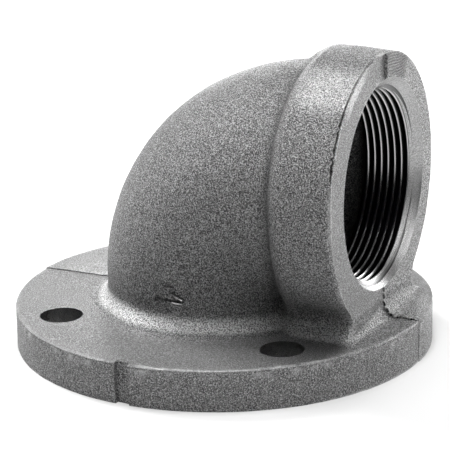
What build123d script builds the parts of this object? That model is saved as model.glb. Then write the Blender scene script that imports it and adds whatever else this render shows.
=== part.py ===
from build123d import *
import os
from math import acos, cos, sin, sqrt

os.makedirs("parts", exist_ok=True)

# A grey iron elbow that turns a pipe by a right angle. It stands on its bolted flange, and its other
# end is a banded outlet for a taper pipe thread. Sizes are in millimetres. The origin is the centre
# of the flange's bottom face, +Z runs up the flange's axis and +X out of the threaded outlet. The
# mould parts along the plane Y = 0, which holds both axes, so each half draws out along Y.

# Flange
flange_diameter = 190.5
flange_thickness = 19.05
flange_edge_radius = 1.2
bolt_circle_diameter = 152.4
bolt_hole_diameter = 19.05
bolt_count = 4

# Notch down the flange's rim, at the point furthest from the parting plane
notch_width = 6.8
notch_depth = 2.4
notch_shift = -0.9

# Bend
outlet_height = 78.2  # outlet's axis above the flange's bottom face
outlet_reach = 78.2  # outlet's face from the flange's axis
bend_radius = 48.4  # of the centre line
waterway_diameter = 91.0
wall = 7.1
foot_fillet = 8.0  # where the elbow and its band stand on the flange
web_spread = 20.0  # least distance of the fillets' centres from the parting plane, under the outlet

# Band round the outlet
band_diameter = 118.8
band_width = 25.4
shoulder_run = 8.8  # length over which the band's back rounds down to the elbow
shoulder_root = 1.2  # depth to which the shoulder's end is sunk in the elbow's wall

# Machined outlet
tapping_diameter = 82.8  # mean crest diameter of the taper thread
thread_length = 24.9
mouth_diameter = 92.6

flange_radius = flange_diameter / 2
body_radius = waterway_diameter / 2 + wall
band_radius = band_diameter / 2
bend_start = outlet_height - bend_radius
band_back = outlet_reach - band_width
leg_top = max(bend_start, flange_thickness + foot_fillet + flange_edge_radius)
tapping_start = outlet_reach - thread_length
neck_start = tapping_start - (waterway_diameter - tapping_diameter) / 2
first_bolt_angle = 180 / bolt_count  # the bolts straddle the parting plane

outlet_plane = Plane(origin=(0, 0, outlet_height), x_dir=(0, 1, 0), z_dir=(1, 0, 0))
outlet_axis = Axis((0, 0, outlet_height), (1, 0, 0))
bend_axis = Axis((bend_radius, 0, bend_start), (0, 1, 0))


def bend_section(radius):
    """The circle that sweeps round the bend, clipped where it would cross the bend's own axis."""
    with BuildSketch() as section:
        Circle(radius)
        with Locations((bend_radius, 0)):
            Rectangle(body_radius, 2 * body_radius, align=(Align.MIN, Align.CENTER), mode=Mode.SUBTRACT)
    return section.sketch


def foot_profile(radius):
    """A section across the outlet's axis: a circle standing on the flange through two fillets.

    Each fillet's circle touches both the section's circle and the top of the flange. Where the
    outlet stands high, the fillets grow until the web between them is wide enough.
    """
    rise = outlet_height - flange_thickness
    fillet_radius = max(foot_fillet, (web_spread**2 + rise**2 - radius**2) / (2 * (radius + rise)))
    centre_z = fillet_radius - rise
    centre_y = sqrt((radius + fillet_radius) ** 2 - centre_z**2)
    inside_flange = flange_thickness / 2 - outlet_height
    with BuildSketch() as profile:
        for side in (1, -1):
            with BuildLine():
                Polyline(
                    (0, 0),
                    (side * centre_y, centre_z),
                    (side * centre_y, inside_flange),
                    (0, inside_flange),
                    close=True,
                )
            make_face()
        with Locations((centre_y, centre_z), (-centre_y, centre_z)):
            Circle(fillet_radius, mode=Mode.SUBTRACT)
        Circle(radius)
    return profile.sketch


with BuildPart() as elbow_casting:
    # Flange, and the leg that stands on it
    with BuildSketch(Plane.XY):
        Circle(flange_radius)
    extrude(amount=flange_thickness)
    with BuildSketch(Plane.XY):
        Circle(body_radius)
    extrude(amount=leg_top)
    top_edges = elbow_casting.edges().filter_by_position(Axis.Z, flange_thickness, flange_thickness)
    foot_edge, flange_edge = top_edges.sort_by(Edge.length)
    fillet(flange_edge, flange_edge_radius)
    fillet(foot_edge, foot_fillet)

    # Bend, a quarter turn of the leg's section, and the straight run to the outlet
    with BuildSketch(Plane.XY.offset(bend_start)):
        add(bend_section(body_radius))
    revolve(axis=bend_axis, revolution_arc=90)
    with BuildSketch(outlet_plane.offset(bend_radius)):
        Circle(body_radius)
    extrude(amount=outlet_reach - bend_radius)

    # Band, which merges into the flange below
    with BuildSketch(outlet_plane.offset(band_back)):
        add(foot_profile(band_radius))
    extrude(amount=band_width)

    # Shoulder: sections along an arc that is tangent to the band, meets the elbow and ends in its wall
    shoulder_rise = band_radius - body_radius
    shoulder_radius = (shoulder_run**2 + shoulder_rise**2) / (2 * shoulder_rise)
    shoulder_turn = acos(1 - (shoulder_rise + shoulder_root) / shoulder_radius)
    for share in (0, 0.25, 0.5, 0.75, 1):
        turn = shoulder_turn * share
        with BuildSketch(outlet_plane.offset(band_back - shoulder_radius * sin(turn))):
            add(foot_profile(band_radius - shoulder_radius * (1 - cos(turn))))
    loft()

    # Waterway, as the core leaves it
    with BuildSketch(Plane.XY):
        Circle(waterway_diameter / 2)
    extrude(amount=bend_start, mode=Mode.SUBTRACT)
    with BuildSketch(Plane.XY.offset(bend_start)):
        add(bend_section(waterway_diameter / 2))
    revolve(axis=bend_axis, revolution_arc=90, mode=Mode.SUBTRACT)
    with BuildSketch(outlet_plane.offset(min(bend_radius, neck_start))):
        Circle(waterway_diameter / 2)
    extrude(amount=abs(neck_start - bend_radius), mode=Mode.SUBTRACT)

    # Neck behind the thread, tapping bore and mouth chamfer, turned round the outlet's axis
    mouth_chamfer = (mouth_diameter - tapping_diameter) / 2
    with BuildSketch(Plane.XZ):
        with BuildLine():
            Polyline(
                (neck_start, outlet_height),
                (neck_start, outlet_height + waterway_diameter / 2),
                (tapping_start, outlet_height + tapping_diameter / 2),
                (outlet_reach - mouth_chamfer, outlet_height + tapping_diameter / 2),
                (outlet_reach, outlet_height + mouth_diameter / 2),
                (outlet_reach, outlet_height),
                close=True,
            )
        make_face()
    revolve(axis=outlet_axis, mode=Mode.SUBTRACT)

    # Bolt holes, drilled through from the flange's bottom face
    with BuildSketch(Plane.XY):
        with PolarLocations(bolt_circle_diameter / 2, bolt_count, start_angle=first_bolt_angle):
            Circle(bolt_hole_diameter / 2)
    extrude(amount=flange_thickness, mode=Mode.SUBTRACT)

    # Rim notch
    with BuildSketch(Plane.XY):
        with Locations((notch_shift, notch_depth - flange_radius)):
            Rectangle(notch_width, flange_radius, align=(Align.CENTER, Align.MAX))
    extrude(amount=flange_thickness, mode=Mode.SUBTRACT)

elbow_casting.part.label = "elbow_casting"
export_step(elbow_casting.part, "parts/elbow_casting.step")
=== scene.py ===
# %% [markdown]
# # A flanged elbow in cast iron
#
# The object is one iron casting. Sand gave it most of its skin, and a few cutters then gave it a flat
# bottom, four bolt holes and a pipe thread. This lesson follows the same order. It starts from the
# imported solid, turns it into a rough casting, and then machines that casting with cutters of the same
# shapes as the shop's.

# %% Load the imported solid
import math

import bmesh
import bpy
import numpy as np
from mathutils import Matrix, Vector, noise


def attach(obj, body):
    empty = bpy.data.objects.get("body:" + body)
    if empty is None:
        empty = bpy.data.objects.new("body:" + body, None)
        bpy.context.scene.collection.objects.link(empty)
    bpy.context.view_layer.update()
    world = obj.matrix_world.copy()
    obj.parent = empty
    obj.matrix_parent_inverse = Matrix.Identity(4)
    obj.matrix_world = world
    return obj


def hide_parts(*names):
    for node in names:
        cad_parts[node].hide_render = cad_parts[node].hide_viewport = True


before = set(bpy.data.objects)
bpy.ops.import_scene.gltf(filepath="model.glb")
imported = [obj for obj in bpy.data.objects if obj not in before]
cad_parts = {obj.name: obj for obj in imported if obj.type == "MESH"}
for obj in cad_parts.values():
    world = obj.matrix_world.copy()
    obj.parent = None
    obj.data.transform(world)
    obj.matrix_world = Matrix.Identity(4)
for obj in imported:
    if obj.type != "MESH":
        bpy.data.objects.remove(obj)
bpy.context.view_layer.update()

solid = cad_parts["elbow_casting"]
print("triangles in the packed solid:", len(solid.data.polygons))

# %% [markdown]
# ## The sizes that the casting and its cutters share
#
# Blender works in metres, but a fitting is drawn in millimetres, so the sizes are written that way
# here and turned into metres where a mesh is made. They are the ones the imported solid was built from.

# %% Sizes in millimetres
MM = 0.001
FLANGE_RADIUS = 95.25
FLANGE_THICKNESS = 19.05
OUTLET_HEIGHT = 78.2
OUTLET_REACH = 78.2
BEND_RADIUS = 48.4
BEND_START = OUTLET_HEIGHT - BEND_RADIUS
BODY_RADIUS = 52.6
BAND_RADIUS = 59.4
BOLT_CIRCLE_RADIUS = 76.2
BOLT_HOLE_RADIUS = 9.525

THREAD_PITCH = 3.175
THREAD_TAPER = 1 / 32
THREAD_DEPTH = 2.54
THREAD_CREST_RADIUS = 41.77
TAPPING_START = 53.3
MOUTH_RADIUS = 46.3

# %% [markdown]
# ## The camera
#
# A long lens stands well back from the fitting, a little above it and to one side, so that the
# flange, the side of the elbow and the mouth of the thread all show. The place and the lens were
# found by fitting the edges of the real one, whose sizes are standard, to the view.

# %% Camera
AZIMUTH, ELEVATION, ROLL = 26.53, 16.94, -1.10
SIDEWAYS, LIFT, DISTANCE = -0.24, 49.28, 828.52
LENS = 143.91


def camera_axes(azimuth, elevation, roll):
    """Right, up and backward directions of a camera that looks at the origin."""
    a, e, r = (math.radians(v) for v in (azimuth, elevation, roll))
    backward = Vector((math.sin(a) * math.cos(e), -math.cos(a) * math.cos(e), math.sin(e)))
    right = Vector((math.cos(a), math.sin(a), 0))
    up = backward.cross(right)
    return math.cos(r) * right + math.sin(r) * up, math.cos(r) * up - math.sin(r) * right, backward


right, up, backward = camera_axes(AZIMUTH, ELEVATION, ROLL)
camera_data = bpy.data.cameras.new("camera")
camera_data.lens = LENS
camera_data.sensor_width = 36
camera_data.clip_start = 0.05
camera = bpy.data.objects.new("camera", camera_data)
place = (-SIDEWAYS * right + LIFT * up + DISTANCE * backward) * MM
camera.matrix_world = Matrix.Translation(place) @ Matrix((right, up, backward)).transposed().to_4x4()
bpy.context.scene.collection.objects.link(camera)
bpy.context.scene.camera = camera
print("camera stands at", [round(v, 3) for v in place])

# %% [markdown]
# ## Floor and light
#
# Iron is a dull mirror, so most of what the eye reads as light on it is a blurred picture of the room.
# The room is a plain pale floor that curves up into a wall behind the fitting, one large soft light
# overhead, and nothing bright on the camera's side. That makes the tops and the outlines pale and
# leaves the side that faces the camera dark.

# %% Floor
def new_piece(name, mesh):
    piece = bpy.data.objects.new(name, mesh)
    bpy.context.scene.collection.objects.link(piece)
    return piece


def sweep_floor(width, front, back, rise, corner, steps):
    """A floor that turns up into a wall through a round corner."""
    line = [(front, 0.0)]
    for i in range(steps + 1):
        turn = math.pi / 2 * i / steps
        line.append((back - corner + corner * math.sin(turn), corner - corner * math.cos(turn)))
    line.append((back, rise))
    points = [(side * width / 2, y, z) for y, z in line for side in (-1, 1)]
    faces = [(2 * i, 2 * i + 1, 2 * i + 3, 2 * i + 2) for i in range(len(line) - 1)]
    mesh = bpy.data.meshes.new("floor")
    mesh.from_pydata(points, [], faces)
    for face in mesh.polygons:
        face.use_smooth = True
    return new_piece("floor", mesh)


floor = sweep_floor(width=9, front=-3, back=2.6, rise=3, corner=1.2, steps=24)

floor_paint = bpy.data.materials.new("floor_paint")
floor_paint.use_nodes = True
floor_shader = floor_paint.node_tree.nodes["Principled BSDF"]
floor_shader.inputs["Base Color"].default_value = (0.9, 0.9, 0.9, 1)
floor_shader.inputs["Roughness"].default_value = 0.9
floor_shader.inputs["Specular IOR Level"].default_value = 0.2
floor.data.materials.append(floor_paint)

# %% Lights
def soft_light(name, place, aim, size, power):
    data = bpy.data.lights.new(name, "AREA")
    data.shape = "RECTANGLE"
    data.size, data.size_y = size
    data.energy = power
    lamp = bpy.data.objects.new(name, data)
    lamp.location = place
    lamp.rotation_euler = (Vector(aim) - Vector(place)).to_track_quat("-Z", "Y").to_euler()
    bpy.context.scene.collection.objects.link(lamp)
    return lamp


def around(azimuth, elevation, distance):
    """A place round the casting; azimuth 0 is the camera's side and 90 is on its right."""
    a, e = math.radians(azimuth + AZIMUTH), math.radians(elevation)
    level = distance * math.cos(e)
    return level * math.sin(a), -level * math.cos(a), distance * math.sin(e)


lights = [
    ("overhead", 0, 88, 10.0),
    ("front_high", 0, 68, 6.2),
    ("rear_left_high", 225, 48, 11.2),
    ("right", 90, 15, 4.2),
    ("rear_right", 135, 12, 7.2),
    ("rear", 180, 12, 5.1),
    ("rear_left", 225, 12, 2.2),
]
for name, azimuth, elevation, power in lights:
    soft_light(name, around(azimuth, elevation, 1.3), (0, 0, 0.06), (0.5, 0.5), power)

world = bpy.data.worlds.new("studio")
world.use_nodes = True
world.node_tree.nodes["Background"].inputs["Color"].default_value = (1, 1, 1, 1)
world.node_tree.nodes["Background"].inputs["Strength"].default_value = 0.01
bpy.context.scene.world = world
bpy.context.scene.view_settings.view_transform = "Standard"

# %% [markdown]
# ## The rough casting
#
# Sand can't hold a sharp edge, so every as-cast corner is a little round, and no surface is quite
# true. A voxel remesh does the same to a solid: it forgets the exact faces and rebuilds the skin as an
# even net, soft at the corners, that can then be pushed about. Before it, the places that the shop
# will cut are filled, as they are in the foundry: the bolt holes, the rim's notch and the outlet are
# plugged, and the bottom gets 3 mm of stock.

# %% Helpers for meshes
def as_object(name, points, faces):
    """A new object from points in millimetres."""
    mesh = bpy.data.meshes.new(name)
    mesh.from_pydata([tuple(p) for p in np.asarray(points) * MM], [], faces)
    solid_mesh = bmesh.new()
    solid_mesh.from_mesh(mesh)
    bmesh.ops.recalc_face_normals(solid_mesh, faces=solid_mesh.faces)
    solid_mesh.to_mesh(mesh)
    solid_mesh.free()
    return new_piece(name, mesh)


def turned(name, profile, centre, axis, sides):
    """A closed solid of revolution: profile is (distance along the axis, radius), both ends at 0."""
    axis = Vector(axis)
    across = axis.orthogonal().normalized()
    other = axis.cross(across)
    points, rings = [], []
    for along, radius in profile:
        base = Vector(centre) + along * axis
        if radius == 0:
            rings.append([len(points)] * sides)
            points.append(tuple(base))
            continue
        rings.append(list(range(len(points), len(points) + sides)))
        for i in range(sides):
            turn = 2 * math.pi * i / sides
            points.append(tuple(base + radius * (math.cos(turn) * across + math.sin(turn) * other)))
    faces = []
    for low, high in zip(rings, rings[1:]):
        for i in range(sides):
            j = (i + 1) % sides
            faces.append(list(dict.fromkeys((low[i], low[j], high[j], high[i]))))
    return as_object(name, points, faces)


def cylinder(name, radius, start, end, centre, axis, sides=96):
    return turned(name, [(start, 0), (start, radius), (end, radius), (end, 0)], centre, axis, sides)


def block(name, low, high):
    corners = [(x, y, z) for x in (low[0], high[0]) for y in (low[1], high[1]) for z in (low[2], high[2])]
    faces = [(0, 1, 3, 2), (4, 6, 7, 5), (0, 4, 5, 1), (2, 3, 7, 6), (0, 2, 6, 4), (1, 5, 7, 3)]
    return as_object(name, corners, faces)


def settled(piece):
    """Replace a piece's mesh by what its modifiers make of it."""
    depsgraph = bpy.context.evaluated_depsgraph_get()
    mesh = bpy.data.meshes.new_from_object(piece.evaluated_get(depsgraph))
    piece.modifiers.clear()
    piece.data = mesh
    return piece


def combine(piece, tool, operation):
    """Cut, join or keep what two solids share, and throw the second one away."""
    step = piece.modifiers.new("combine", "BOOLEAN")
    step.operation = operation
    step.solver = "MANIFOLD"
    step.object = tool
    settled(piece)
    bpy.data.objects.remove(tool)


def points_of(piece):
    """The piece's points in millimetres, one row each."""
    flat = np.empty(len(piece.data.vertices) * 3)
    piece.data.vertices.foreach_get("co", flat)
    return flat.reshape(-1, 3) / MM


def move_points(piece, points):
    piece.data.vertices.foreach_set("co", (points * MM).ravel())
    piece.data.update()


def normals_of(piece):
    flat = np.empty(len(piece.data.vertices) * 3)
    piece.data.vertex_normals.foreach_get("vector", flat)
    return flat.reshape(-1, 3)


# %% Fill what the shop will cut
STOCK = 3.0


def bolt_places():
    for quarter in range(4):
        turn = math.radians(45 + 90 * quarter)
        yield BOLT_CIRCLE_RADIUS * math.cos(turn), BOLT_CIRCLE_RADIUS * math.sin(turn)


rough = bmesh.new()
rough.from_mesh(solid.data)
bmesh.ops.remove_doubles(rough, verts=rough.verts, dist=1e-7)
for vert in rough.verts:
    if vert.co.z < 1e-5:
        vert.co.z -= STOCK * MM

plugs = [
    cylinder("outlet_plug", 46.8, TAPPING_START, OUTLET_REACH, (0, 0, OUTLET_HEIGHT), (1, 0, 0)),
    block("notch_plug", (-5, -95.1, -STOCK), (4, -90, FLANGE_THICKNESS)),
]
for x, y in bolt_places():
    plugs.append(
        cylinder("hole_plug", BOLT_HOLE_RADIUS + 0.5, -STOCK, FLANGE_THICKNESS, (x, y, 0), (0, 0, 1))
    )
for plug in plugs:
    rough.from_mesh(plug.data)
    bpy.data.objects.remove(plug)
bmesh.ops.recalc_face_normals(rough, faces=rough.faces)

mesh = bpy.data.meshes.new("casting")
rough.to_mesh(mesh)
rough.free()
casting = new_piece("casting", mesh)
print("faces before the remesh:", len(casting.data.polygons))

# %% Remesh into an even skin
VOXEL = 1.3

remesh = casting.modifiers.new("skin", "REMESH")
remesh.mode = "VOXEL"
remesh.voxel_size = VOXEL * MM
remesh.adaptivity = 0
soften = casting.modifiers.new("soften", "SMOOTH")
soften.factor = 0.5
soften.iterations = 3
settled(casting)
print("faces in the skin:", len(casting.data.polygons))

# %% [markdown]
# ## What the pattern and the sand did
#
# A wooden or metal pattern is made by hand and drawn out of packed sand, so the casting isn't the
# drawing. The flange tapers away from the parting plane so that the pattern can be drawn, the round
# shoulder behind the band wanders, the face is bevelled where it meets the foot, and the whole skin
# heaves a little. Each of these is a small push of the skin's points, written as a function of where a
# point is, because a rule can be tuned and a sculpting stroke can't.

# %% Where a point is on the casting
def ease(low, high, value):
    """0 below low, 1 above high, and smooth between."""
    share = np.clip((value - low) / (high - low), 0, 1)
    return share * share * (3 - 2 * share)


def cloud(points, size, seed):
    """Smooth noise, about -1 to 1, whose lumps are size millimetres across."""
    shift = Vector((17.3 * seed, 5.1 * seed, 9.7 * seed))
    return np.array([noise.noise(Vector(p) / size + shift) for p in points])


def from_waterway(points):
    """Distance of each point from the centre line that the water follows."""
    x, y, z = points.T
    leg = np.hypot(x, y)
    outlet = np.hypot(y, z - OUTLET_HEIGHT)
    bend = np.hypot(np.hypot(x - BEND_RADIUS, z - BEND_START) - BEND_RADIUS, y)
    return np.where(z < BEND_START, leg, np.where(x > BEND_RADIUS, outlet, bend))


def round_outlet(points):
    """Radius and angle about the outlet's axis: 0 is the near side, 90 the top."""
    x, y, z = points.T
    return np.hypot(y, z - OUTLET_HEIGHT), np.degrees(np.arctan2(z - OUTLET_HEIGHT, -y))


# %% Draft and shoulder
DRAFT = math.tan(math.radians(0.5))

points = points_of(casting)
x, y, z = points.T
outside = from_waterway(points) > 49
radius, angle = round_outlet(points)

draft = -np.abs(y) * DRAFT * ease(9, 17, z) * (1 - ease(21, 30, z)) * outside

near_angles = [-180, -125, -60, -55, -34, -22, -7, 84, 98, 180]
near_shifts = [0, 0, -1.5, -1.0, 2.1, 2.8, 3.5, 3.5, 0, 0]
shoulder = np.interp(angle, near_angles, near_shifts)
shoulder *= ease(34, 42, x) * (1 - ease(48, 57, x)) * outside * (z > 21)

ramp_places = [40.4, 41.8, 43.1, 45.9, 48.6, 51.4, 54.2]
ramp_radii = [52.5, 53.8, 55.2, 56.8, 58.0, 59.2, 59.4]
on_ramp = (x > 40.4) & (x < 54.2) & outside & (z > 60)
far_side = ease(88, 100, angle) * (1 - ease(150, 178, angle)) * on_ramp
growth = (np.interp(x, ramp_places, ramp_radii) - radius) * far_side

edge_angles = [-180, -95, -40, 12, 24, 46, 75, 90, 180]
edge_growth = [-0.8, -0.3, 0.2, 0.5, 0.5, 0.4, -0.5, -1.0, -0.8]
growth += np.interp(angle, edge_angles, edge_growth) * ease(60, 77, x) * ease(55, 58, radius) * (z > 24)
bevel = -1.5 * ease(56.2, 59.6, radius) * ease(75, 77.6, x) * (z > 21)
bevel *= ease(-52, -38, angle) * (1 - ease(8, 16, angle))

points[:, 0] += shoulder + bevel
points[:, 1] += growth * y / np.maximum(radius, 1)
points[:, 2] += draft + growth * (z - OUTLET_HEIGHT) / np.maximum(radius, 1)
move_points(casting, points)
print("largest draft, shoulder and bevel moves:", abs(draft).max(), abs(shoulder).max(), abs(bevel).max())

# %% [markdown]
# ## The toe of the face
#
# A sharp inner corner would tear the sand, so the pattern maker fills it with a fillet. Here it runs
# along the foot of the outlet's face, widest in the middle and gone at both ends, and a little larger
# on the rear half. A bevel modifier needs a clean edge, which the remesh took away, so each point that
# lies behind the fillet's circle is simply drawn out onto it.

# %% Fillet where the face stands on the flange
points = points_of(casting)
x, y, z = points.T
toe = np.where(y < 0, 6.5 * (1 - (y / 38) ** 2), 8 * (1 - (y / 44) ** 2))
toe = np.maximum(toe, 0.01)
centre_x, centre_z = OUTLET_REACH + toe, FLANGE_THICKNESS + toe
in_corner = (x > OUTLET_REACH - 1.5) & (x < centre_x) & (z > 17.5) & (z < centre_z) & (toe > 0.5)
away = np.hypot(x - centre_x, z - centre_z)
pull = np.where(in_corner & (away > toe), toe / np.maximum(away, 1e-6), 1)
points[:, 0] = centre_x + (x - centre_x) * pull
points[:, 2] = centre_z + (z - centre_z) * pull
move_points(casting, points)
print("points on the toe fillet:", int((pull < 1).sum()))

# %% [markdown]
# ## Heaves and stock
#
# The skin's slow waves are layered smooth noise, each layer finer and shallower than the last. The
# crown is lowered a little, so that the waves don't rise above the drawing. The rim and the face grow
# by a millimetre, which the next steps trim off again with crisp edges.

# %% Heaves, and stock on the edges that get trimmed
points = points_of(casting)
normals = normals_of(casting)
x, y, z = points.T
outside = from_waterway(points) > 49
rim = np.hypot(x, y)

push = 0.22 * cloud(points, 34, 1) + 0.14 * cloud(points, 12, 2) + 0.09 * cloud(points, 4.5, 3)
push *= np.where(outside, 1.0, 0.6)
push -= 0.75 * np.exp(-(((x + 34) / 17) ** 2) - ((rim - 88.5) / 6.5) ** 2) * (y < 0) * (z > 15)
points += normals * push[:, None]
points[:, 2] -= 0.2 * ease(110, 136, z)
points[:, :2] *= (1 + 0.012 * ease(90, 94, rim) * (z < 21) * outside)[:, None]
points[:, 0] += 0.9 * ease(76, 77.5, x) * ease(26, 36, z) * (normals[:, 0] > 0.3)
move_points(casting, points)
print("the skin moves in and out by", push.min().round(2), push.max().round(2), "mm")

# %% [markdown]
# ## The two halves of the mould
#
# The mould parts along the plane through both axes, and its halves never close quite in line. The
# iron keeps that as a small step: the rear half of the flange stands a little higher than the front.
# The casting is therefore cut in two, the rear half is slid by the misfit, and they are joined again,
# which gives the step its true, crisp form. The line is then roughened, because sand breaks away
# along the joint.

# %% Misfit
rear = casting.copy()
rear.data = casting.data.copy()
bpy.context.scene.collection.objects.link(rear)
combine(casting, block("front_mould", (-150, -150, -20), (150, 0.02, 200)), "INTERSECT")
combine(rear, block("rear_mould", (-150, -0.02, -20), (150, 150, 200)), "INTERSECT")

points = points_of(rear)
outside = from_waterway(points) > 49
points[:, 0] += 0.15 * outside
points[:, 2] += 0.32 * (1 - ease(21, 26, points[:, 2])) * (points[:, 2] > 10) * outside
move_points(rear, points)
combine(casting, rear, "UNION")

points = points_of(casting)
on_joint = (np.abs(points[:, 1]) < 0.05) & (from_waterway(points) > 49)
points[on_joint, 1] += 0.5 * cloud(points[on_joint], 1.6, 6)
move_points(casting, points)
print("points along the joint:", int(on_joint.sum()))

# %% [markdown]
# ## Crisp edges
#
# The even net is soft at every corner, but the flange's rim and the outlet's face end in edges that
# are nearly sharp. So the net was left a little too large there, and it is now trimmed: the rim by a
# ring-shaped envelope that carries its own small unevenness and a narrow broken corner, and the face by
# one slab for each half of the mould.

# %% Trim the rim
def flange_top(x, y):
    """Height of the flange's top at its rim, with the draft and the misfit of the rear half."""
    return FLANGE_THICKNESS - np.abs(y) * DRAFT + 0.32 * (y > 0)


def rim_envelope(sides):
    turns = 2 * np.pi * np.arange(sides) / sides
    ways = np.column_stack((np.cos(turns), np.sin(turns)))
    reach = np.where(ways[:, 1] > 0, FLANGE_RADIUS - 0.02, FLANGE_RADIUS - 0.5)
    top = flange_top(*(ways * FLANGE_RADIUS).T)
    crumbs = cloud(np.column_stack((ways * FLANGE_RADIUS, top)), 1.7, 4)
    rows = []
    for height in (-12.0, 1.0, 5.0, 9.0, 13.0):
        rows.append((reach, np.full(sides, height)))
    rows.append((reach, top - 1.9))
    rows.append((reach - 0.9 * np.maximum(crumbs - 0.1, 0), top - 1.2))
    rows.append((reach, top - 0.55 - 0.3 * np.maximum(crumbs, 0)))
    rows.append((reach - 0.95, top + 0.4))
    rows.append((np.full(sides, 125.0), np.full(sides, 45.0)))
    rows.append((np.full(sides, 125.0), np.full(sides, 200.0)))
    points = [(0, 0, -12), (0, 0, 200)]
    for number, (reach, height) in enumerate(rows):
        ring = np.column_stack((ways * reach[:, None], height))
        if 0 < number < 8:
            sunk = 0.0012 * (1 + cloud(ring, 9, 8)) + 0.0006 * (1 + cloud(ring, 3, 9))
            ring[:, :2] *= (1 - sunk)[:, None]
        points.extend(map(tuple, ring))
    faces = []
    last = 2 + (len(rows) - 1) * sides
    for i in range(sides):
        j = (i + 1) % sides
        faces += [(0, 2 + j, 2 + i), (1, last + i, last + j)]
        for row in range(len(rows) - 1):
            low, high = 2 + row * sides, 2 + (row + 1) * sides
            faces.append((low + i, low + j, high + j, high + i))
    return as_object("rim_envelope", points, faces)


combine(casting, rim_envelope(600), "INTERSECT")
print("faces after trimming the rim:", len(casting.data.polygons))

# %% Trim the face
def strip(name, sections):
    """A closed tube through sections that are rings of the same number of points."""
    count = len(sections[0])
    points = [point for section in sections for point in section]
    faces = [tuple(range(count)), tuple(len(points) - 1 - i for i in range(count))]
    for row in range(len(sections) - 1):
        for i in range(count):
            j = (i + 1) % count
            low, high = count * row, count * (row + 1)
            faces.append((low + j, low + i, high + i, high + j))
    return as_object(name, points, faces)


def face_slab(shift, side):
    """Everything in front of the face on one side of the mould's joint, easing off above the toe."""
    heights = np.arange(26, 146, 1.5)
    edge = 0.45 * cloud(np.column_stack((heights * 0, heights * 0, heights)), 2.2, 7) + 0.01 * side
    across = np.arange(0, 70, 1.5)
    sections = []
    for height, near in zip(heights, edge):
        face = OUTLET_REACH + 0.35 * (1 - ease(26, 33, height)) + shift * ease(26, 36, height)
        front = np.column_stack((across * 0 + face, near + side * across, across * 0 + height))
        front[:, 0] -= 0.05 + 0.05 * cloud(front, 6, 12)
        section = [tuple(point) for point in front]
        sections.append(section + [(115, near + side * across[-1], height), (115, near, height)])
    return strip("face_slab", sections)


combine(casting, face_slab(-0.18, -1), "DIFFERENCE")
combine(casting, face_slab(0.1, 1), "DIFFERENCE")
print("faces after trimming the face:", len(casting.data.polygons))

# %% [markdown]
# ## Notch, crack and knocks
#
# The damage is real material gone, so it is cut and not painted. A notch and a crack are long, so each
# is a closed strip laid through many small sections whose corners wander by smooth noise. A knock is a
# lump with its corners shaken, and it bites where it touches. The joint of the mould is finished the
# same way: a groove down the rim, and crumbs and pits where the sand broke away below the outlet.


# %% Notch and crack
def on_outlet(x, radius, angle):
    turn = math.radians(angle)
    return (x, -radius * math.cos(turn), OUTLET_HEIGHT + radius * math.sin(turn))


notch_sections = []
for height in np.arange(-4, 22.1, 2):
    left, right, depth = (0.25 * v for v in cloud([(0, 0, height), (5, 9, height), (9, 3, height)], 4, 11))
    notch_sections.append(
        [
            (-4.3 + left, -97, height),
            (2.5 + right, -97, height),
            (2.3 + right, -92.2 + depth, height),
            (1.4 + right, -92.9 + depth, height),
            (-3.9 + left, -92.6, height),
        ]
    )
combine(casting, strip("notch", notch_sections), "DIFFERENCE")

crack_sections = []
for angle in np.arange(16, 79, 0.8):
    depth = 2.0 + 1.8 * noise.noise(Vector((angle / 2.3, 0, 3)))
    width = 0.72 + 0.5 * noise.noise(Vector((angle / 2.1, 5, 0)))
    place = 77.1 + 1.1 * noise.noise(Vector((0, angle / 1.5, 0)))
    crack_sections.append(
        [
            on_outlet(place - width, 61.5, angle),
            on_outlet(place + width, 61.5, angle),
            on_outlet(place, BAND_RADIUS - depth, angle),
        ]
    )
combine(casting, strip("crack", crack_sections), "DIFFERENCE")


# %% Knocks and scratches
def knock(centre, size, seed):
    """A small eight-sided lump with its corners shaken, for chips and dents."""
    lump = bmesh.new()
    bmesh.ops.create_icosphere(lump, subdivisions=1, radius=1)
    for vert in lump.verts:
        shake = 1 + 0.3 * noise.noise(vert.co * 1.7 + Vector((seed * 3.1, 0, 0)))
        vert.co = Vector(centre[i] + size[i] * shake * vert.co[i] for i in range(3)) * MM
    mesh = bpy.data.meshes.new("knock")
    lump.to_mesh(mesh)
    lump.free()
    return new_piece("knock", mesh)


knocks = [
    (on_outlet(77.9, 59.9, 55), (1.6, 1.2, 1.2)),
    (on_outlet(78.3, 59.6, 61), (0.9, 0.8, 0.8)),
    (on_outlet(78.0, 60.2, 67), (1.2, 0.7, 0.9)),
    (on_outlet(78.2, 60.0, 72), (0.7, 0.9, 0.8)),
    (on_outlet(78.3, 60.6, 8), (1.3, 1.0, 2.4)),
    ((67.6, -67.4, 18.6), (1.8, 1.6, 1.0)),
    ((63.0, -71.6, 18.9), (1.0, 0.9, 0.8)),
    ((20.0, -93.2, 18.6), (1.6, 0.9, 0.7)),
]
for seed, (centre, size) in enumerate(knocks):
    combine(casting, knock(centre, size, seed), "DIFFERENCE")


def scratch(start, end, depth):
    """A V-shaped cut into the front of the leg, deepest towards its end; its walls slope by 45 degrees."""
    start, run = np.array(start), np.subtract(end, start)
    along = Vector((run[0], 0, run[1])).normalized()
    sections = []
    for share, bite in ((0, 0.4), (0.3, 0.8), (0.6, 1.0), (0.9, 1.0), (1, 0.4)):
        x, z = start + share * run
        middle = Vector((x, -math.sqrt(BODY_RADIUS**2 - x**2), z))
        out = Vector((middle.x, middle.y, 0)).normalized()
        across = along.cross(out)
        width = bite * depth + 0.7
        top = middle + 0.7 * out
        sections.append([top + width * across, top - width * across, middle - bite * depth * out])
    return strip("scratch", sections)


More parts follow.
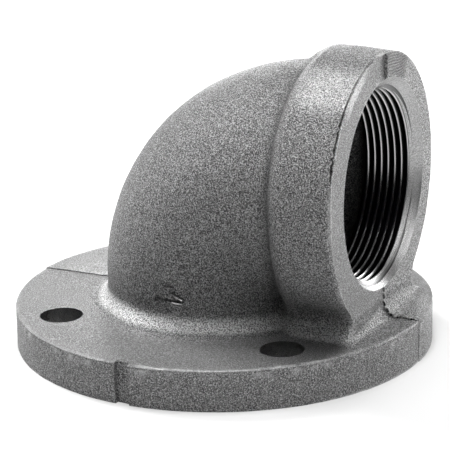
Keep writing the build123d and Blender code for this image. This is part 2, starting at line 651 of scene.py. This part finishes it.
scratches = [
    ((-6.6, 32.3), (6.0, 31.6), 0.75),
    ((1.2, 35.3), (6.3, 33.3), 0.75),
    ((-2.4, 38.5), (2.1, 38.3), 0.5),
]
for start, end, depth in scratches:
    combine(casting, scratch(start, end, depth), "DIFFERENCE")


def in_scratch(points):
    """Whether each point on the front of the leg lies within the width of a scratch."""
    found = np.zeros(len(points), dtype=bool)
    for start, end, depth in scratches:
        flat, run = points[:, [0, 2]] - start, np.subtract(end, start)
        share = np.clip(flat @ run / (run @ run), 0, 1)
        found |= np.linalg.norm(flat - share[:, None] * run, axis=1) < depth + 0.15
    return found & (points[:, 1] < -BODY_RADIUS + 4)


print("faces after the knocks and scratches:", len(casting.data.polygons))

# %% Joint of the mould
groove_sections = []
for height in np.arange(-4, 22.1, 1.3):
    left, right, depth = (0.25 * v for v in cloud([(0, 0, height), (5, 9, height), (9, 3, height)], 2, 13))
    apex = 94.2 + 0.5 * ease(9, 17, height) + depth
    groove_sections.append([(96.5, left - 0.7, height), (96.5, right + 0.7, height), (apex, 0.1, height)])
combine(casting, strip("groove", groove_sections), "DIFFERENCE")


def below_outlet(way):
    """The place on the joint that lies some way down from the mouth, over the toe and out to the rim."""
    down, toe = 4.6, 7.2
    turn = np.clip((way - down) / toe, 0, math.pi / 2)
    x = OUTLET_REACH + toe * (1 - math.cos(turn)) + max(way - down - toe * math.pi / 2, 0)
    return x, FLANGE_THICKNESS + toe * (1 - math.sin(turn)) + max(down - way, 0)


for number in range(22):
    x, z = below_outlet(0.6 + 1.05 * number)
    size = 0.95 + 0.5 * noise.noise(Vector((number * 1.7, 2.0, 0)))
    centre = (x, 0.2 + 1.6 * noise.noise(Vector((0, number * 1.3, 4.0))), z)
    operation = "UNION" if number % 3 == 1 else "DIFFERENCE"
    combine(casting, knock(centre, (size, size, size), 20 + number), operation)
print("faces after the joint:", len(casting.data.polygons))

# %% [markdown]
# ## Cutters
#
# Each cutter is a closed solid of the shape that the real tool sweeps out. The tap is the hardest. Its
# surface is one long ramp wound round the axis: the same V profile again and again, moved on by a
# pitch for each turn and drawn in by the taper. It is made as a grid, turns one way and the profile
# the other, and its two ends are closed by a fan of faces to the axis.

# %% The tap
TAP_SIDES = 128
TAP_TURNS = 10
PROFILE = [(0.0, 0.06), (0.07, 0.0), (0.285, 0.5), (0.5, 1.0), (0.57, 1.0), (0.785, 0.53)]


def tap_grid():
    """Rows run round the axis; each next row is one profile step further in, each turn one pitch."""
    steps = len(PROFILE)
    last_row = steps * TAP_TURNS
    points = []
    for row in range(last_row + 1):
        turn_count, step = divmod(row, steps)
        share_of_pitch, rise = PROFILE[step]
        for side in range(TAP_SIDES):
            depth = (turn_count + share_of_pitch + side / TAP_SIDES - 1.5) * THREAD_PITCH
            reach = THREAD_CREST_RADIUS - THREAD_TAPER * max(depth, 0) + THREAD_DEPTH * rise
            turn = 2 * math.pi * side / TAP_SIDES
            points.append(
                (OUTLET_REACH - depth, reach * math.cos(turn), OUTLET_HEIGHT + reach * math.sin(turn))
            )
    faces = []
    for row in range(last_row):
        for side in range(TAP_SIDES):
            here = row * TAP_SIDES + side
            beside = here + 1
            if side + 1 == TAP_SIDES:
                if row + steps >= last_row:
                    continue
                beside = (row + steps) * TAP_SIDES
            faces.append((here, here + TAP_SIDES, beside + TAP_SIDES, beside))
    return points, faces


def close_ends(piece, tips):
    """Join each open rim of a tool to a point on its axis."""
    tool = bmesh.new()
    tool.from_mesh(piece.data)
    rims = [edge for edge in tool.edges if edge.is_boundary]
    tips = [tool.verts.new(Vector(tip) * MM) for tip in tips]
    for edge in rims:
        middle = (edge.verts[0].co + edge.verts[1].co) / 2
        tip = min(tips, key=lambda t: abs(t.co.x - middle.x))
        tool.faces.new((edge.verts[0], edge.verts[1], tip))
    loose = [vert for vert in tool.verts if not vert.link_faces]
    bmesh.ops.delete(tool, geom=loose, context="VERTS")
    bmesh.ops.recalc_face_normals(tool, faces=tool.faces)
    tool.to_mesh(piece.data)
    tool.free()


tap = as_object("tap", *tap_grid())
close_ends(tap, [(OUTLET_REACH + 8, 0, OUTLET_HEIGHT), (OUTLET_REACH - 31, 0, OUTLET_HEIGHT)])
print("faces on the tap:", len(tap.data.polygons))

# %% Facing, chamfering and drilling tools
facing = block("facing", (-150, -150, -50), (150, 150, 0))
chamfer_profile = [
    (-4.8, 0),
    (-4.8, MOUTH_RADIUS - 4.7),
    (-2.3, MOUTH_RADIUS - 2.2),
    (-1.9, MOUTH_RADIUS - 1.6),
    (0, MOUTH_RADIUS),
    (3, MOUTH_RADIUS + 2.5),
    (3, 0),
]
CHAMFER_CENTRE = (OUTLET_REACH, 1.2, OUTLET_HEIGHT + 0.5)
chamfer = turned("chamfer", chamfer_profile, CHAMFER_CENTRE, (1, 0, 0), 192)
drills = [
    cylinder("drill", BOLT_HOLE_RADIUS, -8, FLANGE_THICKNESS + 4, (x, y, 0), (0, 0, 1), 80)
    for x, y in bolt_places()
]

# %% Cut
for tool in [facing, chamfer, *drills, tap]:
    name = tool.name
    combine(casting, tool, "DIFFERENCE")
    print("after", name, "faces:", len(casting.data.polygons))

# %% [markdown]
# ## Sweep the scraps away
#
# Where two small cuts meet, a crumb can be left hanging in the air, and where the halves of the mould
# were joined, a few faces are folded flat. A brush takes the crumbs off the real casting. Here points in
# the same place are merged, which ends the folds, and whatever isn't joined to the largest piece goes.

# %% Clean
def sweep_scraps(piece):
    shape = bmesh.new()
    shape.from_mesh(piece.data)
    bmesh.ops.remove_doubles(shape, verts=shape.verts, dist=1e-8)
    islands = []
    for vert in shape.verts:
        if vert.tag:
            continue
        vert.tag = True
        island = [vert]
        for member in island:
            for edge in member.link_edges:
                other = edge.other_vert(member)
                if not other.tag:
                    other.tag = True
                    island.append(other)
        islands.append(island)
    islands.sort(key=len)
    scraps = [vert for island in islands[:-1] for vert in island]
    bmesh.ops.delete(shape, geom=scraps, context="VERTS")
    shape.to_mesh(piece.data)
    shape.free()
    return len(islands) - 1, len(scraps)


print("scraps swept away, and their points:", sweep_scraps(casting))

# %% [markdown]
# ## Which faces were cut
#
# The cut faces are bright and the rest keep the sand's skin, so the mesh needs three materials: the
# skin, the iron that was faced, bored or drilled, and the thread. A face belongs to a cutter if it lies
# where that cutter went, so its centre and its normal are enough to tell. The two long scratches show
# fresh metal on their lower walls, towards their deep ends, and those faces count as cut.

# %% Sort the faces
mesh = casting.data
centres = np.empty(len(mesh.polygons) * 3)
mesh.polygons.foreach_get("center", centres)
centres = centres.reshape(-1, 3) / MM
facings = np.empty(len(mesh.polygons) * 3)
mesh.polygons.foreach_get("normal", facings)
facings = facings.reshape(-1, 3)

SKIN, CUT, THREAD = 0, 1, 2
part = np.full(len(centres), SKIN, dtype=np.int32)
inward = centres[:, 0] - OUTLET_REACH
radius, _ = round_outlet(centres)
part[(inward > -27.5) & (radius < 45.2) & (radius > 37)] = THREAD
from_chamfer = np.hypot(centres[:, 1] - CHAMFER_CENTRE[1], centres[:, 2] - CHAMFER_CENTRE[2])
cone = np.interp(inward, *zip(*chamfer_profile[1:5]))
part[(inward > -4.8) & (np.abs(from_chamfer - cone) < 0.12) & (facings[:, 0] < 0.85)] = CUT
part[(centres[:, 2] < 0.02) & (facings[:, 2] < -0.9)] = CUT
for x, y in bolt_places():
    away = np.hypot(centres[:, 0] - x, centres[:, 1] - y)
    part[(away < BOLT_HOLE_RADIUS + 0.05) & (np.abs(facings[:, 2]) < 0.2) & (centres[:, 2] < 20)] = CUT
deep_end = in_scratch(centres) & (centres[:, 0] > 0.4) & (centres[:, 2] < 37)
part[deep_end & (facings[:, 2] > 0.4)] = CUT
print("faces of skin, cut iron and thread:", np.bincount(part))

# %% [markdown]
# ## How coarse the sand was, where edges are worn, and where shade and highlights are painted
#
# The grain isn't even. The elbow and its foot are coarse, the top of the flange was pressed smoother,
# and handling has worn the proud edges bright. These are painted on the mesh's points as numbers that
# the materials read, together with painted shade and a painted highlight. Some follow from where a
# point is. The wear, and the painted shade in the creases and in the pits along the joint, follow from
# how far a point stands out from its neighbours. Painted shade also darkens the upper wall of each
# scratch, and a painted highlight lightens the front of the foot's fillet and a patch high on the band.

# %% Paint the grain and the wear
def paint(piece, name, values):
    layer = piece.data.attributes.new(name, "FLOAT", "POINT")
    layer.data.foreach_set("value", np.asarray(values, dtype=np.float32))


def standing_out(piece, rounds):
    """How far each point stands proud of the mean of its neighbours, in millimetres."""
    count = len(piece.data.vertices)
    ends = np.empty(len(piece.data.edges) * 2, dtype=np.int64)
    piece.data.edges.foreach_get("vertices", ends)
    ends = ends.reshape(-1, 2)
    points, normals = points_of(piece), normals_of(piece)
    links = np.bincount(ends.ravel(), minlength=count)[:, None]
    smooth = points.copy()
    for _ in range(rounds):
        total = np.zeros_like(smooth)
        np.add.at(total, ends[:, 0], smooth[ends[:, 1]])
        np.add.at(total, ends[:, 1], smooth[ends[:, 0]])
        smooth = total / np.maximum(links, 1)
    return ((points - smooth) * normals).sum(axis=1)


points = points_of(casting)
x, y, z = points.T
normals = normals_of(casting)
rim = np.hypot(x, y)
radius, angle = round_outlet(points)

on_top = ease(58, 66, rim) * (1 - ease(19.6, 21.5, z)) * ease(0.6, 0.95, normals[:, 2])
on_rim = ease(93, 94.5, rim) * (z < 19)
on_face = ease(76.9, 77.6, x) * ease(0.7, 0.95, normals[:, 0]) * (z > 20)
in_foot = ease(19.1, 20.6, z) * (1 - ease(22.5, 27, z)) * (from_waterway(points) > 49) * (x < 78)
at_toe = ease(77, 79, x) * (1 - ease(26, 34, z)) * ease(17, 18, z)
by_joint = at_toe * ease(-6, 4, y) * (1 - ease(22, 34, y)) * (1 - ease(92, 94, rim))
grain = 1.1 + 0.4 * in_foot - 0.5 * on_top * (1 - by_joint) - 0.25 * on_rim - 0.45 * on_face * (y < 0)
grain += 0.45 * at_toe * (y < 0) + 0.9 * by_joint
ground = on_face * ease(88, 92, angle) * (1 - ease(114, 120, angle)) * ease(46.5, 48, radius) * (y > 0)
grain -= 0.6 * ground
paint(casting, "grain", np.clip(grain, 0.2, 2.0))
paint(casting, "ground", ground)
# Painted highlight: the front of the foot's fillet and a patch high on the band are marked to be
# lightened.
painted_highlight = in_foot * (1 - ease(-10, 45, y))
painted_highlight += 0.5 * ease(48, 60, x) * ease(40, 50, angle) * (1 - ease(60, 74, angle)) * (radius > 55)
paint(casting, "painted_highlight", np.clip(painted_highlight, 0, 1))
proud = np.clip(standing_out(casting, 2) / 0.4, 0, 1)
edges = np.maximum(ease(93.0, 94.2, rim) * (z > 15) * (z < 20), ease(76, 77, x))
paint(casting, "wear", proud * edges)
# Painted shade: the creases, the pits along the joint and the upper wall of each scratch get a number that
# darkens their colour.
creases = np.clip(-standing_out(casting, 10) / 0.42, 0, 1)
creases *= ease(24, 32, z) * ease(18, 28, x) * (1 - ease(73, 76, x))
pits = np.clip(-standing_out(casting, 2) / 0.15, 0, 1) * (np.abs(y) < 3) * (x > 76) * (z < 40)
painted_shade = np.maximum(0.5 * np.maximum(creases, pits), 0.9 * in_scratch(points) * (normals[:, 2] < 0.15))
paint(casting, "painted_shade", painted_shade)
print("points in hollows:", int((painted_shade > 0.25).sum()))
print("grain runs from", grain.min().round(2), "to", grain.max().round(2))

# %% [markdown]
# ## Shared effects
#
# Two effects serve more than one material, so each is a node group with named inputs. Sand grain is
# layered noise read in the object's own space, and it gives a height for the bump, a speckle for the
# colour and broad patches. Tool marks are fine waves along an axis.

# %% Node helpers
def group(name, inputs, outputs):
    tree = bpy.data.node_groups.new(name, "ShaderNodeTree")
    for label, value in inputs:
        kind = "NodeSocketVector" if isinstance(value, tuple) else "NodeSocketFloat"
        socket = tree.interface.new_socket(label, in_out="INPUT", socket_type=kind)
        socket.default_value = value
    for label in outputs:
        tree.interface.new_socket(label, in_out="OUTPUT", socket_type="NodeSocketFloat")
    return tree, tree.nodes.new("NodeGroupInput"), tree.nodes.new("NodeGroupOutput")


def maths(tree, operation, first, second=None, third=None):
    node = tree.nodes.new("ShaderNodeMath")
    node.operation = operation
    for socket, value in zip(node.inputs, (first, second, third)):
        if isinstance(value, (int, float)):
            socket.default_value = value
        elif value is not None:
            tree.links.new(value, socket)
    return node.outputs[0]


def noise_at(tree, place, scale, detail, roughness=0.6):
    node = tree.nodes.new("ShaderNodeTexNoise")
    node.inputs["Detail"].default_value = detail
    node.inputs["Roughness"].default_value = roughness
    tree.links.new(place, node.inputs["Vector"])
    if isinstance(scale, (int, float)):
        node.inputs["Scale"].default_value = scale
    else:
        tree.links.new(scale, node.inputs["Scale"])
    return node.outputs["Fac"]


# %% Sand grain group
sand, sand_in, sand_out = group(
    "sand_grain",
    [("Vector", (0.0, 0.0, 0.0)), ("Grain Size", 0.9), ("Depth", 1.0)],
    ["Height", "Speckle", "Patches"],
)
frequency = maths(sand, "DIVIDE", 1000.0, sand_in.outputs["Grain Size"])
coarse = noise_at(sand, sand_in.outputs["Vector"], frequency, 2.0)
fine = noise_at(sand, sand_in.outputs["Vector"], maths(sand, "MULTIPLY", frequency, 2.3), 1.0)
both = maths(sand, "ADD", maths(sand, "MULTIPLY", coarse, 0.7), maths(sand, "MULTIPLY", fine, 0.3))
height = maths(sand, "MULTIPLY", both, sand_in.outputs["Depth"])
speckle = maths(sand, "MULTIPLY_ADD", maths(sand, "SUBTRACT", both, 0.5), 5.0, 0.5)
sand.links.new(height, sand_out.inputs["Height"])
sand.links.new(speckle, sand_out.inputs["Speckle"])
sand.links.new(noise_at(sand, sand_in.outputs["Vector"], 60.0, 3.0), sand_out.inputs["Patches"])

# %% Tool ring group
rings, rings_in, rings_out = group(
    "tool_rings", [("Along", 0.0), ("Spacing", 0.35), ("Depth", 1.0)], ["Height"]
)
millimetres = maths(rings, "MULTIPLY", rings_in.outputs["Along"], 1000.0)
phase = maths(rings, "DIVIDE", millimetres, rings_in.outputs["Spacing"])
wave = maths(rings, "SINE", maths(rings, "MULTIPLY", phase, 2 * math.pi))
rings.links.new(maths(rings, "MULTIPLY", wave, rings_in.outputs["Depth"]), rings_out.inputs["Height"])

# %% [markdown]
# ## The cast skin
#
# The fitting was blasted clean, so its skin is bare iron with a sparkle: every grain is a tiny facet,
# bright on its peak and dark in the pit beside it. The shader is metal of middling roughness. The
# speckle moves its colour and its roughness together, the same height drives the bump, and the worn
# edges are lifted towards bright metal. Painted shade takes the colour to near black in the creases,
# the pits along the joint and the upper walls of the scratches. A painted highlight lifts the front of
# the foot's fillet and a patch high on the band towards a brighter tone.

# %% Cast skin material
def place_group(tree, node_tree, **values):
    node = tree.nodes.new("ShaderNodeGroup")
    node.node_tree = node_tree
    for label, value in values.items():
        socket = node.inputs[label.replace("_", " ")]
        if isinstance(value, (int, float)):
            socket.default_value = value
        else:
            tree.links.new(value, socket)
    return node


def attribute(tree, name):
    node = tree.nodes.new("ShaderNodeAttribute")
    node.attribute_name = name
    return node.outputs["Fac"]


def ramp(tree, value, stops):
    node = tree.nodes.new("ShaderNodeValToRGB")
    while len(node.color_ramp.elements) < len(stops):
        node.color_ramp.elements.new(0.5)
    for element, (position, tone) in zip(node.color_ramp.elements, stops):
        element.position = position
        element.color = (tone, tone, tone, 1)
    tree.links.new(value, node.inputs["Fac"])
    return node.outputs["Color"]


def mix_colour(tree, share, first, second):
    node = tree.nodes.new("ShaderNodeMix")
    node.data_type = "RGBA"
    tree.links.new(share, node.inputs["Factor"])
    for socket, value in ((node.inputs["A"], first), (node.inputs["B"], second)):
        if isinstance(value, (int, float)):
            socket.default_value = (value, value, value, 1)
        else:
            tree.links.new(value, socket)
    return node.outputs["Result"]


def bump(tree, height, strength, distance):
    node = tree.nodes.new("ShaderNodeBump")
    node.inputs["Strength"].default_value = strength
    node.inputs["Distance"].default_value = distance
    tree.links.new(height, node.inputs["Height"])
    return node.outputs["Normal"]


skin = bpy.data.materials.new("cast_skin")
skin.use_nodes = True
tree = skin.node_tree
shader = tree.nodes["Principled BSDF"]
shader.inputs["Metallic"].default_value = 0.85
where = tree.nodes.new("ShaderNodeTexCoord").outputs["Object"]
depth = attribute(tree, "grain")
grains = place_group(tree, sand, Vector=where, Grain_Size=0.55, Depth=depth)

contrast = maths(tree, "MULTIPLY_ADD", maths(tree, "SUBTRACT", grains.outputs["Speckle"], 0.5), depth, 0.5)
tone = ramp(tree, contrast, [(0.0, 0.05), (0.4, 0.16), (0.7, 0.25), (1.0, 0.5)])
patchy = ramp(tree, grains.outputs["Patches"], [(0.35, 0.1), (0.6, 1.0)])
worn = maths(tree, "MULTIPLY", attribute(tree, "wear"), patchy)
# Painted highlight: a brighter ramp of the speckle is mixed in where the painted highlight is marked.
bright = ramp(tree, contrast, [(0.0, 0.2), (0.35, 0.55), (0.6, 0.88), (1.0, 1.0)])
painted_highlight_tone = mix_colour(tree, attribute(tree, "painted_highlight"), tone, bright)
worn_tone = mix_colour(tree, worn, painted_highlight_tone, 0.6)
# Painted shade: this mix takes the colour towards near black in the creases, the pits and the scratch
# walls.
skin_tone = mix_colour(tree, attribute(tree, "painted_shade"), worn_tone, 0.03)
tree.links.new(skin_tone, shader.inputs["Base Color"])
rough_tone = ramp(tree, contrast, [(0.0, 0.62), (1.0, 0.42)])
tree.links.new(rough_tone, shader.inputs["Roughness"])
split = tree.nodes.new("ShaderNodeSeparateXYZ")
tree.links.new(where, split.inputs["Vector"])
wander = maths(tree, "MULTIPLY_ADD", grains.outputs["Patches"], 0.004, split.outputs["Z"])
marks = place_group(tree, rings, Along=wander, Spacing=1.2, Depth=attribute(tree, "ground"))
ridges = maths(tree, "MULTIPLY", marks.outputs["Height"], 0.9)
heights = maths(tree, "ADD", grains.outputs["Height"], ridges)
tree.links.new(bump(tree, heights, 0.9, 0.0009), shader.inputs["Normal"])

# %% [markdown]
# ## The cut iron
#
# A drill and a facing tool leave bare, closer-grained metal that reflects much more sharply than the
# skin, broken into fine rings about the tool's axis. The rings of the mouth run round X, so their height
# is a wave along X.

# %% Cut iron material
cut_iron = bpy.data.materials.new("cut_iron")
cut_iron.use_nodes = True
tree = cut_iron.node_tree
shader = tree.nodes["Principled BSDF"]
shader.inputs["Metallic"].default_value = 1.0
where = tree.nodes.new("ShaderNodeTexCoord").outputs["Object"]
split = tree.nodes.new("ShaderNodeSeparateXYZ")
tree.links.new(where, split.inputs["Vector"])
marks = place_group(tree, rings, Along=split.outputs["X"], Spacing=0.33, Depth=0.5)
grains = place_group(tree, sand, Vector=where, Grain_Size=0.5, Depth=0.4)
cut_tone = ramp(tree, grains.outputs["Speckle"], [(0.0, 0.24), (1.0, 0.42)])
cut_roughness = ramp(tree, grains.outputs["Speckle"], [(0.0, 0.36), (1.0, 0.24)])
tree.links.new(cut_tone, shader.inputs["Base Color"])
tree.links.new(cut_roughness, shader.inputs["Roughness"])
heights = maths(tree, "ADD", marks.outputs["Height"], grains.outputs["Height"])
tree.links.new(bump(tree, heights, 0.5, 0.00012), shader.inputs["Normal"])

# %% [markdown]
# ## The thread
#
# The crests carry a painted highlight, and the flanks and roots carry painted shade, near black. The two
# differ only by how deep they lie, so the material works that out for itself: the distance from the
# outlet's axis, less the crest's radius at that place on the taper, as a share of the thread's depth.
# Painted points would be too coarse for a line as thin as a crest.

# %% Thread material
thread_iron = bpy.data.materials.new("thread_iron")
thread_iron.use_nodes = True
tree = thread_iron.node_tree
shader = tree.nodes["Principled BSDF"]
shader.inputs["Metallic"].default_value = 1.0
where = tree.nodes.new("ShaderNodeTexCoord").outputs["Object"]
split = tree.nodes.new("ShaderNodeSeparateXYZ")
tree.links.new(where, split.inputs["Vector"])
rise = maths(tree, "SUBTRACT", split.outputs["Z"], OUTLET_HEIGHT * MM)
rise_squared = maths(tree, "POWER", rise, 2.0)
side_squared = maths(tree, "POWER", split.outputs["Y"], 2.0)
reach = maths(tree, "SQRT", maths(tree, "ADD", rise_squared, side_squared))
crest_at_axis = (THREAD_CREST_RADIUS - OUTLET_REACH * THREAD_TAPER) * MM
crest = maths(tree, "MULTIPLY_ADD", split.outputs["X"], THREAD_TAPER, crest_at_axis)
depth = maths(tree, "DIVIDE", maths(tree, "SUBTRACT", reach, crest), THREAD_DEPTH * MM)
grains = place_group(tree, sand, Vector=where, Grain_Size=0.5, Depth=0.4)
# Painted highlight on the crests, and painted shade on the flanks and in the roots.
crest_highlight_root_shade = ramp(tree, depth, [(0.0, 0.5), (0.1, 0.42), (0.22, 0.11), (1.0, 0.06)])
thread_roughness = ramp(tree, depth, [(0.0, 0.2), (0.15, 0.24), (1.0, 0.3)])
tree.links.new(crest_highlight_root_shade, shader.inputs["Base Color"])
tree.links.new(thread_roughness, shader.inputs["Roughness"])
tree.links.new(bump(tree, grains.outputs["Height"], 0.5, 0.0001), shader.inputs["Normal"])

# %% Dress the casting
casting.data.materials.clear()
casting.data.materials.append(skin)
casting.data.materials.append(cut_iron)
casting.data.materials.append(thread_iron)
casting.data.polygons.foreach_set("material_index", part)
casting.data.polygons.foreach_set("use_smooth", np.ones(len(part), dtype=bool))
casting.data.set_sharp_from_angle(angle=math.radians(34))

# %% Hand over
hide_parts("elbow_casting")
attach(casting, "root")
